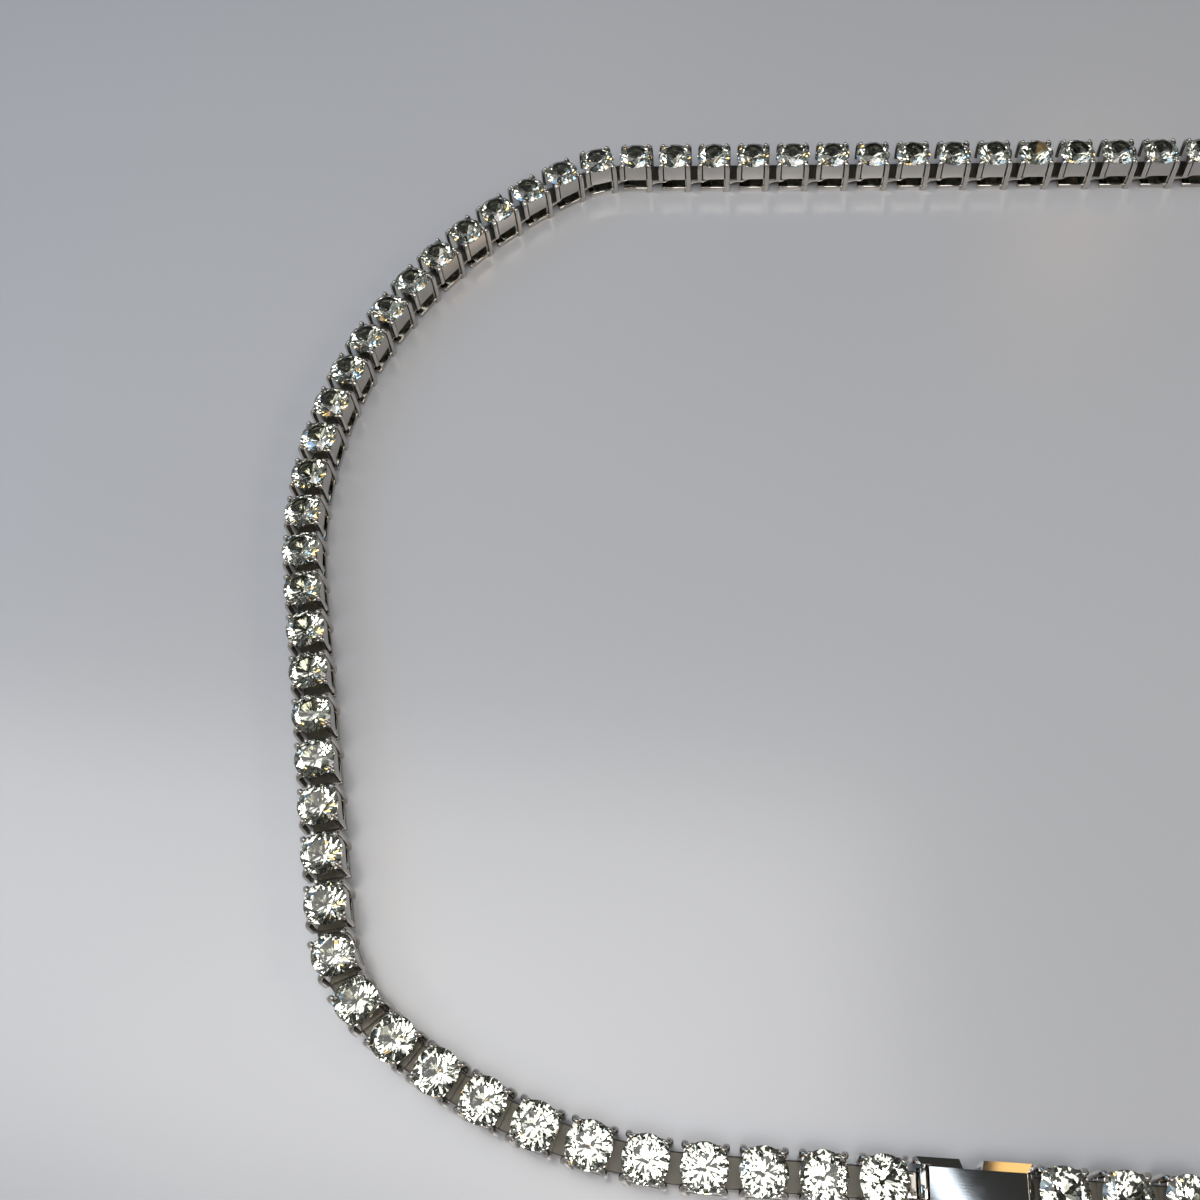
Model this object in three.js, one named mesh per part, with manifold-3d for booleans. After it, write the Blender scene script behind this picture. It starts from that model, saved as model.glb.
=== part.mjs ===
// A tennis necklace, closed and lying flat on a table: 85 equal links and a fold-over clasp.
// Millimetres, +Z up. The origin is on the table, under the middle of the loop's box.
// A link is modelled in its own frame: X along the row towards the next link, Y across it, Z up from
// the table. The clasp has a frame of the same kind, with its hinge at its +X end.

import * as THREE from "three";
import { ConvexGeometry } from "three/addons/geometries/ConvexGeometry.js";
import { mergeVertices } from "three/addons/utils/BufferGeometryUtils.js";
import Module from "manifold-3d";

const wasm = await Module();
wasm.setup();

// The row
const pitch = 4.8; // stone centre to stone centre
const linkCount = 85;
const claspReach = 7.0; // clasp centre to the centre of the stone on either side of it
const looseLinks = 10; // links on each side of the clasp whose setting and stone are separate pieces
const stretchLinks = 5; // links in each of the other pieces

// The bends of one half of the loop, from the clasp to the far side, in millimetres and degrees.
// The other half mirrors them, and straight runs before and after them take up the rest of the row.
const bends = [
  { name: "lower sweep", length: 32, turn: 36 },
  { name: "lower shoulder", length: 11, turn: 40 },
  { name: "side", length: 36, turn: 0 },
  { name: "upper sweep", length: 67, turn: 71 },
  { name: "upper shoulder", length: 8, turn: 33 },
];

// The stone
const stoneRadius = 2.0;
const stoneSides = 8;
const girdleHeight = 4.05; // table to the widest part of the stone
const crownRise = 0.65;
const tableRadius = 1.15;
const pavilionDepth = 1.7;

// The setting
const postEdge = 2.0; // middle of the link to the outer edges of the posts, along and across the row
const wallFace = 1.78; // middle of the link to the outer face of a cup wall
const wallHalfLength = 1.3; // the posts stand beyond this
const cupBottom = 1.85;
const cupTop = 3.65;
const seatGap = 0.2; // between the stone and the cup, measured down
const clawTop = 4.45;
const clawLean = 0.4; // how far a claw's tip leans in over the stone

// The foot of a link
const railStart = -1.6;
const railTop = 0.55;
const apronBottom = 1.45; // the cup wall towards the link before reaches down to this
const apronThickness = 0.35;
const tongueRoot = 0.45; // height of the tongue's underside at the web
const tongueBottom = 0.85;
const tongueTop = 1.3;
const tongueRise = 2.75; // where the tongue's underside has risen to tongueBottom
const tongueEnd = 4.4;
const lipStart = 3.6;
const lipBottom = 1.2;
const lipTop = 1.7; // the tongue ends in a lip, turned up behind the next apron
const loopEnd = 5.6; // the last link's longer tongue, a loop that lies over the clasp's peg
const loopHoleRadius = 0.78;

// The clasp
const leverHalfLength = 4.7;
const leverTop = 4.05;
const leverBottom = 0.5;
const sideBevel = 0.75;
const tipBevel = 0.55;
const bevelDrop = 0.35;
const tipChamfer = { along: 0.5, up: 1.1 }; // under the tip, so that it clears the last link
const flangeThickness = 0.4;
const plateThickness = 0.8;
const neckStart = -0.65;
const neckEnd = 0.82;
const earRadius = 0.95;
const pinRadius = 0.3;
const pinHalfLength = 1.9;
const pinHoleRadius = 0.48;
const hingeSides = 12;
const knuckleRadius = 0.72;
const knuckleHalfLength = 1.15;
const hingeGap = 0.25;
const hingePost = { start: 3.1, end: 4.4 };
const trayStart = -4.2;
const trayEnd = 4.6;
const trayRise = 5.15; // where the tray's underside has risen to tongueBottom
const trayTop = 0.6;
const pegX = -2.6;
const pegRadius = 0.45;
const pegTop = 2.9;

const pin = { x: leverHalfLength - earRadius, z: leverTop - earRadius };
const solder = 0.1; // by which soldered pieces run into each other
const flatness = 0.001;

const metal = { color: 0xb9b6b4, metalness: 1.0, roughness: 0.16 };
const crystal = { color: 0xdfe6e2, metalness: 0.0, roughness: 0.03 };

// Solids

function solidFrom(geometry) {
  const bare = geometry.clone();
  bare.deleteAttribute("normal");
  bare.deleteAttribute("uv");
  const merged = mergeVertices(bare, 1e-5);
  const vertProperties = new Float32Array(merged.attributes.position.array);
  const triVerts = new Uint32Array(merged.index.array);
  return new wasm.Manifold(new wasm.Mesh({ numProp: 3, vertProperties, triVerts }));
}

function geometryFrom(solid) {
  const { vertProperties, triVerts } = solid.getMesh();
  const geometry = new THREE.BufferGeometry();
  geometry.setAttribute("position", new THREE.BufferAttribute(vertProperties, 3));
  geometry.setIndex(new THREE.BufferAttribute(triVerts, 1));
  geometry.computeVertexNormals();
  return geometry;
}

// Flat faces that a cut or a join left in strips are made whole again.
function tidy(solid) {
  return solid.asOriginal().simplify(flatness);
}

function union(...solids) {
  return tidy(solids.reduce((whole, solid) => whole.add(solid)));
}

function hull(points) {
  return solidFrom(new ConvexGeometry(points));
}

function extrude(outline, depth) {
  const shape = new THREE.Shape(outline.map(([u, v]) => new THREE.Vector2(u, v)));
  return new THREE.ExtrudeGeometry(shape, { depth, bevelEnabled: false });
}

// A prism standing on an outline in X and Y.
function uprightPrism(outline, bottom, top) {
  return solidFrom(extrude(outline, top - bottom).translate(0, 0, bottom));
}

// A prism across the row, on an outline in X and Z.
function crossPrism(outline, halfWidth) {
  const geometry = extrude(outline, 2 * halfWidth).rotateX(Math.PI / 2);
  return solidFrom(geometry.translate(0, halfWidth, 0));
}

// A prism along the row, on an outline in Y and Z.
function lengthPrism(outline, halfLength) {
  const geometry = extrude(outline, 2 * halfLength).rotateX(Math.PI / 2).rotateZ(Math.PI / 2);
  return solidFrom(geometry.translate(-halfLength, 0, 0));
}

function box([x0, x1], [y0, y1], [z0, z1]) {
  const geometry = new THREE.BoxGeometry(x1 - x0, y1 - y0, z1 - z0);
  return solidFrom(geometry.translate((x0 + x1) / 2, (y0 + y1) / 2, (z0 + z1) / 2));
}

function uprightBar(radius, x, bottom, top) {
  const geometry = new THREE.CylinderGeometry(radius, radius, top - bottom, stoneSides);
  return solidFrom(geometry.rotateX(Math.PI / 2).translate(x, 0, (top + bottom) / 2));
}

// A round bar across the row, about the hinge's axis.
function hingeBar(radius, halfLength) {
  const geometry = new THREE.CylinderGeometry(radius, radius, 2 * halfLength, hingeSides);
  return solidFrom(geometry.translate(pin.x, 0, pin.z));
}

// The corners of a regular polygon whose flats face the walls and the posts.
function ring(radius, height) {
  const corners = [];
  for (let i = 0; i < stoneSides; i += 1) {
    const angle = (2 * Math.PI * (i + 0.5)) / stoneSides;
    corners.push(new THREE.Vector3(radius * Math.cos(angle), radius * Math.sin(angle), height));
  }
  return corners;
}

// The stone: a table, a crown, a girdle edge and a pavilion down to its point.

const tableRing = ring(tableRadius, girdleHeight + crownRise);

function brilliant(lowered = 0) {
  const girdle = girdleHeight - lowered;
  const culet = new THREE.Vector3(0, 0, girdle - pavilionDepth);
  return hull([...tableRing, ...ring(stoneRadius, girdle), culet]);
}

// The setting

// A post is a ridge at a corner of the cup: its root on one wall, its edge, its root on the next.
function post(signX, signY) {
  return [
    [signX * wallHalfLength, signY * wallFace],
    [signX * postEdge, signY * postEdge],
    [signX * wallFace, signY * wallHalfLength],
  ];
}

const endPosts = [...post(1, -1), ...post(1, 1).reverse()];
const startPosts = [...post(-1, 1), ...post(-1, -1).reverse()];
const cupOutline = [...endPosts, ...startPosts];

// A claw carries its post on above the cup and leans in over the edge of the stone.
function claw(signX, signY) {
  const lean = clawLean * Math.SQRT1_2;
  const points = [];
  for (const [x, y] of post(signX, signY)) {
    points.push(new THREE.Vector3(x, y, cupTop));
    points.push(new THREE.Vector3(x - signX * lean, y - signY * lean, clawTop));
  }
  return hull(points);
}

// The two posts at the end of a link go down to the table, with a web between them. The rail runs
// back from the web under the open window.
function foot() {
  const web = uprightPrism(endPosts, 0, cupBottom);
  const rail = box([railStart, wallHalfLength], [-wallFace, wallFace], [0, railTop]);
  return web.add(rail);
}

// The tongue rises from the web and reaches into the next link's window. lip is the height that its
// end is turned up to.
function tongue(lip) {
  return crossPrism(
    [
      [wallFace - solder, tongueRoot],
      [tongueRise, tongueBottom],
      [tongueEnd, lipBottom],
      [tongueEnd, lip],
      [lipStart, tongueTop],
      [wallFace - solder, tongueTop],
    ],
    wallHalfLength,
  );
}

function loopTongue() {
  const flat = crossPrism(
    [
      [wallFace - solder, tongueRoot],
      [tongueRise, tongueBottom],
      [loopEnd, tongueBottom],
      [loopEnd, tongueTop],
      [wallFace - solder, tongueTop],
    ],
    wallHalfLength,
  );
  return flat.subtract(uprightBar(loopHoleRadius, claspReach + pegX, 0, cupBottom));
}

// What the lip of the link before, or of the tray, hooks behind.
function apron() {
  const inside = apronThickness - wallFace;
  const across = [-wallHalfLength, wallHalfLength];
  return box([-wallFace, inside], across, [apronBottom, cupBottom + solder]);
}

// A setting whose stone is a piece of its own.
function setting(reach) {
  const cup = uprightPrism(cupOutline, cupBottom, cupTop).subtract(brilliant(seatGap));
  const claws = [claw(1, 1), claw(1, -1), claw(-1, 1), claw(-1, -1)];
  return union(cup, ...claws, foot(), apron(), reach);
}

// A link in one with its stone. Only a stretch's first link hooks on to a piece before it.
function linkWithStone(reach, first) {
  const cup = uprightPrism(cupOutline, cupBottom, girdleHeight);
  const crownRadius = wallFace / Math.cos(Math.PI / stoneSides);
  const crown = hull([...tableRing, ...ring(crownRadius, girdleHeight)]);
  const link = union(cup, crown, foot(), reach);
  return first ? union(link, apron()) : link;
}

// The clasp

// The points of a half outline on the +Y side, and their mirror images.
function mirrored(half) {
  return [...half, ...half.map(([y, z]) => [-y, z]).reverse()];
}

// The lever is a channel with bevelled top edges. A notch in each side leaves a narrower neck
// between its two blocks. Its ears turn on the pin, on either side of the tray's knuckle.
function lever() {
  const innerFace = postEdge - flangeThickness;
  const channel = mirrored([
    [innerFace, leverTop - plateThickness],
    [innerFace, leverBottom],
    [postEdge, leverBottom],
    [postEdge, leverTop - bevelDrop],
    [postEdge - sideBevel, leverTop],
  ]);
  const earArc = [0, 30, 60, 90].map(THREE.MathUtils.degToRad).map((angle) => [
    pin.x + earRadius * Math.cos(angle),
    pin.z + earRadius * Math.sin(angle),
  ]);
  const profile = [
    [tipChamfer.along - leverHalfLength, leverBottom],
    [leverHalfLength, leverBottom],
    ...earArc,
    [tipBevel - leverHalfLength, leverTop],
    [-leverHalfLength, leverTop - bevelDrop],
    [-leverHalfLength, leverBottom + tipChamfer.up],
  ];
  const neckSide = postEdge - sideBevel;
  const above = 2 * leverTop;
  const outside = 2 * postEdge;
  const knuckleSpace = knuckleHalfLength + hingeGap;
  return tidy(
    lengthPrism(channel, leverHalfLength)
      .intersect(crossPrism(profile, outside))
      .subtract(box([neckStart, neckEnd], [neckSide, outside], [0, above]))
      .subtract(box([neckStart, neckEnd], [-outside, -neckSide], [0, above]))
      .subtract(hingeBar(knuckleRadius + hingeGap, knuckleSpace))
      .subtract(box([pin.x - hingeGap, 2 * pin.x], [-knuckleSpace, knuckleSpace], [pin.z, above]))
      .subtract(hingeBar(pinHoleRadius, outside)),
  );
}

// The tray carries the peg and the knuckle, and its tongue hooks into the first link.
function tray() {
  const next = claspReach - pitch; // where a link would stand to reach the first one with its tongue
  const body = crossPrism(
    [
      [trayStart, 0],
      [trayEnd, 0],
      [trayRise, tongueBottom],
      [next + tongueEnd, lipBottom],
      [next + tongueEnd, lipTop],
      [next + lipStart, tongueTop],
      [hingePost.end, tongueTop],
      [hingePost.end, pin.z],
      [hingePost.start, pin.z],
      [hingePost.start, trayTop],
      [trayStart, trayTop],
    ],
    knuckleHalfLength,
  );
  const knuckle = hingeBar(knuckleRadius, knuckleHalfLength);
  const peg = uprightBar(pegRadius, pegX, trayTop - solder, pegTop);
  return tidy(body.add(knuckle).add(peg).subtract(hingeBar(pinHoleRadius, postEdge)));
}

// The loop

const bendsLength = bends.reduce((sum, { length }) => sum + length, 0);
const halfLoop = claspReach + ((linkCount - 1) * pitch) / 2;

// Where one comes to, and which way one faces, after a distance along runs and bends that start at
// the origin towards -X and turn clockwise.
function follow(runs, distance) {
  const at = { x: 0, y: 0, heading: Math.PI };
  let left = distance;
  for (const { length, turn } of runs) {
    const step = Math.min(left, length);
    const angle = THREE.MathUtils.degToRad(-turn) * (step / length);
    const chord = angle === 0 ? step : (step * Math.sin(angle / 2)) / (angle / 2);
    at.x += chord * Math.cos(at.heading + angle / 2);
    at.y += chord * Math.sin(at.heading + angle / 2);
    at.heading += angle;
    left -= step;
  }
  return at;
}

const straights = halfLoop - bendsLength;
const shift = follow(bends, bendsLength).x;
const halfRuns = [
  { name: "near run", length: (straights + shift) / 2, turn: 0 },
  ...bends,
  { name: "far run", length: (straights - shift) / 2, turn: 0 },
];
const depth = follow(halfRuns, halfLoop).y;

// The place of a point of the row, at a distance from the clasp's centre.
function place(distance) {
  const back = distance > halfLoop;
  const at = follow(halfRuns, back ? 2 * halfLoop - distance : distance);
  const matrix = new THREE.Matrix4().makeRotationZ(back ? -at.heading : at.heading);
  return matrix.setPosition(back ? -at.x : at.x, at.y - depth / 2, 0);
}

function linkPlace(number) {
  return place(claspReach + (number - 1) * pitch);
}

// The necklace

const necklace = new THREE.Group();

function addPiece(name, solid, finish, matrix) {
  const piece = new THREE.Mesh(geometryFrom(solid), new THREE.MeshStandardMaterial(finish));
  piece.name = name;
  piece.applyMatrix4(matrix);
  necklace.add(piece);
}

function twoDigits(number) {
  return String(number).padStart(2, "0");
}

function addLooseLink(number) {
  const reach = number === linkCount ? loopTongue() : tongue(lipTop);
  addPiece(`setting_${twoDigits(number)}`, setting(reach), metal, linkPlace(number));
  addPiece(`stone_${twoDigits(number)}`, brilliant(), crystal, linkPlace(number));
}

// The links of a stretch are soldered at their tongues. Its last tongue is free.
function addStretch(first, last) {
  const firstPlace = linkPlace(first);
  const toFirst = firstPlace.clone().invert();
  const links = [];
  for (let number = first; number <= last; number += 1) {
    const lip = number === last ? lipTop : cupBottom + solder;
    const local = toFirst.clone().multiply(linkPlace(number));
    links.push(linkWithStone(tongue(lip), number === first).transform(local.elements));
  }
  addPiece(`links_${first}_to_${last}`, union(...links), metal, firstPlace);
}

for (let number = 1; number <= looseLinks; number += 1) {
  addLooseLink(number);
}
for (let first = looseLinks + 1; first <= linkCount - looseLinks; first += stretchLinks) {
  addStretch(first, first + stretchLinks - 1);
}
for (let number = linkCount - looseLinks + 1; number <= linkCount; number += 1) {
  addLooseLink(number);
}

const claspPlace = place(0);
addPiece("clasp_base", tray(), metal, claspPlace);
addPiece("clasp_pin", hingeBar(pinRadius, pinHalfLength), metal, claspPlace);
addPiece("clasp_lever", lever(), metal, claspPlace);

export default necklace;
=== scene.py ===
# %% [markdown]
# # A tennis necklace
#
# A tennis necklace is one row of equal round stones, each held by four claws in a small square
# setting of its own. Each setting hooks into the next one, so that the row bends like a chain, and
# a fold-over clasp closes it. This one has 85 links, and it lies on a pale table.
#
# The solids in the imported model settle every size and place. They come in first, as a frame, and
# the rest of this file dresses them: each plain solid gives way to a finished piece of the same
# size in the same place.

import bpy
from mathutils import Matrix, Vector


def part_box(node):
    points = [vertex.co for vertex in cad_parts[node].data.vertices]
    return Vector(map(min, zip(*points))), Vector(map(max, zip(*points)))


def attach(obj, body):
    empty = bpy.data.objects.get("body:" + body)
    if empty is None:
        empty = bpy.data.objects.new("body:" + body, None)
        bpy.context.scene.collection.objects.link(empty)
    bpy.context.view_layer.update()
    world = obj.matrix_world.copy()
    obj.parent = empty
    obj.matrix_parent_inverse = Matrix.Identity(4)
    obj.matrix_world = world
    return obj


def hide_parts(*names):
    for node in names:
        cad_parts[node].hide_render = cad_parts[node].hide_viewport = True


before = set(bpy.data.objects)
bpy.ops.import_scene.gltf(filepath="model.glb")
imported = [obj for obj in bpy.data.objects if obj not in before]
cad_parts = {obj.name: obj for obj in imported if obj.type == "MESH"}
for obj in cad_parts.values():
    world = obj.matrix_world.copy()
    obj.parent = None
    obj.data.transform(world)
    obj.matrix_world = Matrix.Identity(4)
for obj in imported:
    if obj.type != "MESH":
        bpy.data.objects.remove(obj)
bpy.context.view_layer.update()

# %% [markdown]
# The pieces are a few millimetres long, and Blender works in metres. So every piece is first made
# in millimetres at the origin, as a pattern, and one matrix then shrinks it and lays it in the row.

# %% Units and libraries
import math
import random

import bmesh
import bpy
from mathutils import Matrix, Vector

MM = 0.001

# %% [markdown]
# ## The camera
#
# The camera comes first, because it says which sides of the necklace show most. It stands a hand's
# width above the clasp and looks over it towards the far side of the loop, a little turned about
# its own axis as a hand-held one is. Three turns give that: the roll, the tilt up from straight
# down, and the heading.

# %% The camera
EYE = Vector((-20.1, -66.9, 118.9)) * MM
HEADING, TILT, ROLL = (math.radians(angle) for angle in (12.35, 28.83, -9.42))
LENS, SENSOR_WIDTH = 39, 36
NEAREST = 0.01

camera = bpy.data.objects.new("camera", bpy.data.cameras.new("camera"))
camera.data.lens = LENS
camera.data.sensor_width = SENSOR_WIDTH
camera.data.clip_start = NEAREST
turned = Matrix.Rotation(HEADING, 4, "Z") @ Matrix.Rotation(TILT, 4, "X") @ Matrix.Rotation(ROLL, 4, "Z")
camera.matrix_world = Matrix.Translation(EYE) @ turned
bpy.context.scene.collection.objects.link(camera)
bpy.context.scene.camera = camera
print("camera:", [round(value, 4) for value in EYE], "lens", LENS)

# %% [markdown]
# ## The row
#
# The row is a closed loop that mirrors about the line through the clasp. One half of it is a list
# of runs and bends, and a distance along them gives a place and a heading. A Bezier curve with an
# Array modifier could lay the links too, but an array stretches or drifts at the bends, and a
# link is rigid. So each link is laid by a matrix of its own, at equal distances along the row.

# %% The row's measures, in millimetres and degrees
PITCH = 4.8
LINKS = 85
CLASP_REACH = 7.0  # from the clasp's centre to the centre of the link on either side of it
LOOSE = 10  # links on each side of the clasp that are pieces of their own
STRETCH = 5  # links in each of the other pieces
# What each bend is, how long it is, and how far it turns.
BENDS = (
    ("lower sweep", 32, 36),
    ("lower shoulder", 11, 40),
    ("side", 36, 0),
    ("upper sweep", 67, 71),
    ("upper shoulder", 8, 33),
)
HALF_LOOP = CLASP_REACH + (LINKS - 1) * PITCH / 2


def follow(runs, distance):
    """The place and heading after a distance along the runs, from the origin towards -X, clockwise."""
    x, y, heading = 0.0, 0.0, math.pi
    for _, length, turn in runs:
        step = min(distance, length)
        angle = math.radians(-turn) * step / length
        chord = step * math.sin(angle / 2) / (angle / 2) if angle else step
        x += chord * math.cos(heading + angle / 2)
        y += chord * math.sin(heading + angle / 2)
        heading += angle
        distance -= step
    return x, y, heading


# %% The half loop, with the straight runs that close it
bends_length = sum(length for _, length, _ in BENDS)
shift = follow(BENDS, bends_length)[0]
straights = HALF_LOOP - bends_length
HALF_RUNS = (("near run", (straights + shift) / 2, 0), *BENDS, ("far run", (straights - shift) / 2, 0))
DEPTH = follow(HALF_RUNS, HALF_LOOP)[1]


def place(distance):
    """The matrix that lays a pattern in the row, at a distance from the clasp's centre."""
    back = distance > HALF_LOOP
    x, y, heading = follow(HALF_RUNS, 2 * HALF_LOOP - distance if back else distance)
    if back:
        x, heading = -x, -heading
    laid = Matrix.Translation(Vector((x, y - DEPTH / 2, 0)) * MM) @ Matrix.Rotation(heading, 4, "Z")
    return laid @ Matrix.Scale(MM, 4)


def link_place(number):
    return place(CLASP_REACH + (number - 1) * PITCH)


CLASP_PLACE = place(0)
print("loop:", round(2 * HALF_LOOP, 1), "mm round,", round(DEPTH, 2), "mm deep")

# %% [markdown]
# The frame says whether this route is the one that the solids lie on. The middle of a loose
# stone's box has to fall on its link's place.

# %% Measure the route against the frame
drift = 0.0
for number in (*range(1, LOOSE + 1), *range(LINKS - LOOSE + 1, LINKS + 1)):
    low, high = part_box(f"stone_{number:02d}")
    drift = max(drift, ((low + high) / 2 - link_place(number).translation).xy.length)
print("largest drift from the frame:", round(1000 * drift, 4), "mm")

# %% [markdown]
# ## Tools for shaping
#
# Everything here is small metalwork or cut stone, and three ways of working make all of it:
# a flat cut that takes a slice off, a bar drawn out at its end, and solder that makes several
# pieces one. `bisect_plane`, `extrude_discrete_faces` and the Boolean modifier are those tools.

# %% Boxes and rods
HAIR = 1e-5  # corners as near as this to a cut count as lying on it
TOUCHING = 1e-4  # corners as near as this to each other are one


def box(low, high):
    """A closed box between two corners."""
    shape = bmesh.new()
    low, high = Vector(low), Vector(high)
    size = Matrix.Diagonal((*(high - low), 1))
    bmesh.ops.create_cube(shape, size=1, matrix=Matrix.Translation((low + high) / 2) @ size)
    return shape


def rod(radius, length, laid, sides):
    """A round rod with flat ends. It lies along Z about the origin until a matrix lays it."""
    shape = bmesh.new()
    bmesh.ops.create_cone(
        shape, cap_ends=True, segments=sides, radius1=radius, radius2=radius, depth=length, matrix=laid
    )
    return shape


# %% Cut and draw out
def cut(shape, point, normal):
    """Takes off all that lies beyond a plane, and closes the cut with one flat face."""
    geometry = shape.verts[:] + shape.edges[:] + shape.faces[:]
    bmesh.ops.bisect_plane(
        shape, geom=geometry, dist=HAIR, plane_co=point, plane_no=normal, clear_outer=True
    )
    rim = [edge for edge in shape.edges if edge.is_boundary]
    bmesh.ops.edgeloop_fill(shape, edges=rim)


def ring_at(shape, height):
    """Cuts a ring of edges round a shape at a height, and takes nothing off. Gives the ring's corners."""
    geometry = shape.verts[:] + shape.edges[:] + shape.faces[:]
    ring = bmesh.ops.bisect_plane(
        shape, geom=geometry, dist=HAIR, plane_co=(0, 0, height), plane_no=(0, 0, 1)
    )
    return [part for part in ring["geom_cut"] if isinstance(part, bmesh.types.BMVert)]


def draw_out(shape, end, steps):
    """Draws a bar out at its end face. A step says how far, and how much wider along X, Y and Z."""
    for move, spread in steps:
        end = bmesh.ops.extrude_discrete_faces(shape, faces=[end])["faces"][0]
        corners = end.verts[:]
        bmesh.ops.translate(shape, verts=corners, vec=move)
        about = Matrix.Translation(-end.calc_center_median())
        bmesh.ops.scale(shape, verts=corners, vec=spread, space=about)


# %% Find faces and edges
X, Z = 0, 2
LONG, LEVEL = 1.0, 0.1  # an edge that spans more is long along an axis, and one that spans less is level


def span(edge, axis):
    """How far an edge reaches along an axis."""
    return abs(edge.verts[0].co[axis] - edge.verts[1].co[axis])


def face_towards(shape, direction):
    """The face that looks most nearly in a direction, and furthest out that way."""
    direction = Vector(direction).normalized()
    for face in shape.faces:
        face.normal_update()

    def how_far(face):
        return round(face.normal @ direction, ndigits=3), face.calc_center_median() @ direction

    return max(shape.faces, key=how_far)


def sharp_edges(shape, least=40):
    """The edges at which two faces meet at more than an angle, in degrees."""
    return [edge for edge in shape.edges if edge.calc_face_angle(0) > math.radians(least)]


def soften(shape, edges, width, segments=2):
    """Rounds edges over."""
    bmesh.ops.bevel(
        shape, geom=edges, offset=width, segments=segments, profile=0.5, affect="EDGES", material=-1
    )


# %% [markdown]
# Solder and files are Boolean modifiers: a union joins, and a difference files a space out. The
# exact solver is slower than the others, but it keeps the flat faces whole, and each pattern
# goes through it only once. It also leaves hair-short edges where two cuts nearly meet, and one
# such edge would hold a Bevel modifier to its own length, so a Weld modifier closes them first.
# The bevel leaves corners that lie on each other, and a finer weld makes those one.


# %% Solder and file
WELD, FINE_WELD = 0.05, 0.001


def thing(name, shape):
    """An object in the scene from a bmesh."""
    mesh = bpy.data.meshes.new(name)
    shape.to_mesh(mesh)
    shape.free()
    made = bpy.data.objects.new(name, mesh)
    bpy.context.scene.collection.objects.link(made)
    return made


def worked(name, body, joined=(), filed=(), softened=0.0):
    """A pattern's mesh: a body with other shapes soldered to it, then others filed out of it."""
    whole = thing(name, body)
    helpers = []
    for operation, shapes in (("UNION", joined), ("DIFFERENCE", filed)):
        for shape in shapes:
            helpers.append(thing(name + "_helper", shape))
            modifier = whole.modifiers.new("work", "BOOLEAN")
            modifier.operation = operation
            modifier.solver = "EXACT"
            modifier.object = helpers[-1]
    if softened:
        modifier = whole.modifiers.new("weld", "WELD")
        modifier.merge_threshold = WELD
        modifier = whole.modifiers.new("soften", "BEVEL")
        modifier.width = softened
        modifier.segments = 2
        modifier.limit_method = "ANGLE"
        modifier = whole.modifiers.new("weld_rounded", "WELD")
        modifier.merge_threshold = FINE_WELD
    graph = bpy.context.evaluated_depsgraph_get()
    mesh = bpy.data.meshes.new_from_object(whole.evaluated_get(graph))
    for used in (whole, *helpers):
        spent = used.data
        bpy.data.objects.remove(used)
        bpy.data.meshes.remove(spent)
    open_edges = loose_edges(mesh)
    print(f"{name}: {len(mesh.polygons)} faces, {open_edges} open edges")
    return mesh


def loose_edges(mesh):
    """How many edges of a mesh don't lie between exactly two faces."""
    shape = bmesh.new()
    shape.from_mesh(mesh)
    count = sum(not edge.is_manifold for edge in shape.edges)
    shape.free()
    return count


# %% [markdown]
# A finished piece is its pattern, laid in the row once or several times and joined. Its object
# stays at the origin and its place is in its mesh, so that a grain that reads Object coordinates
# runs on from link to link without a repeat. Faces that meet at a small angle are shaded as one
# curve, and the others keep their crisp edge. Where a wide flat runs into a narrow rounded edge, the
# Weighted Normal modifier lets the flat win, so that it still mirrors the room like a flat.


# %% Lay pieces in the row
def lay(name, laid, material, smooth_below=None):
    """A piece from (mesh, matrix) pairs. smooth_below is the angle up to which edges look round."""
    shape = bmesh.new()
    for mesh, matrix in laid:
        first = len(shape.verts)
        shape.from_mesh(mesh)
        shape.verts.ensure_lookup_table()
        bmesh.ops.transform(shape, matrix=matrix, verts=shape.verts[first:])
    for face in shape.faces:
        face.smooth = smooth_below is not None
    piece = thing(name, shape)
    if smooth_below is not None:
        piece.data.set_sharp_from_angle(angle=math.radians(smooth_below))
        flats = piece.modifiers.new("keep the flats flat", "WEIGHTED_NORMAL")
        flats.keep_sharp = True
    piece.data.materials.clear()
    piece.data.materials.append(material)
    return piece


# %% [markdown]
# ## The finishes
#
# A finish is a small program of nodes. To keep it readable, a socket is wrapped in a class whose
# operators add the Math nodes, so that a sum of two patterns is written as a sum.


# %% Shader maths
class Reading:
    """A value or colour that a node gives out. Its sums, differences and products add Math nodes."""

    def __init__(self, finish, socket):
        self.finish = finish
        self.socket = socket

    def maths(self, operation, first, second):
        return self.finish.node("ShaderNodeMath", {"operation": operation}, {0: first, 1: second})

    def __add__(self, other):
        return self.maths("ADD", self, other)

    def __rsub__(self, other):
        return self.maths("SUBTRACT", other, self)

    def __mul__(self, other):
        return self.maths("MULTIPLY", self, other)

    __radd__ = __add__


# %% Node trees
# A Mix node has several sockets of the same name, so its colour sockets go by number.
MIX_FIRST, MIX_SECOND, MIX_RESULT = 6, 7, 2


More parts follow.
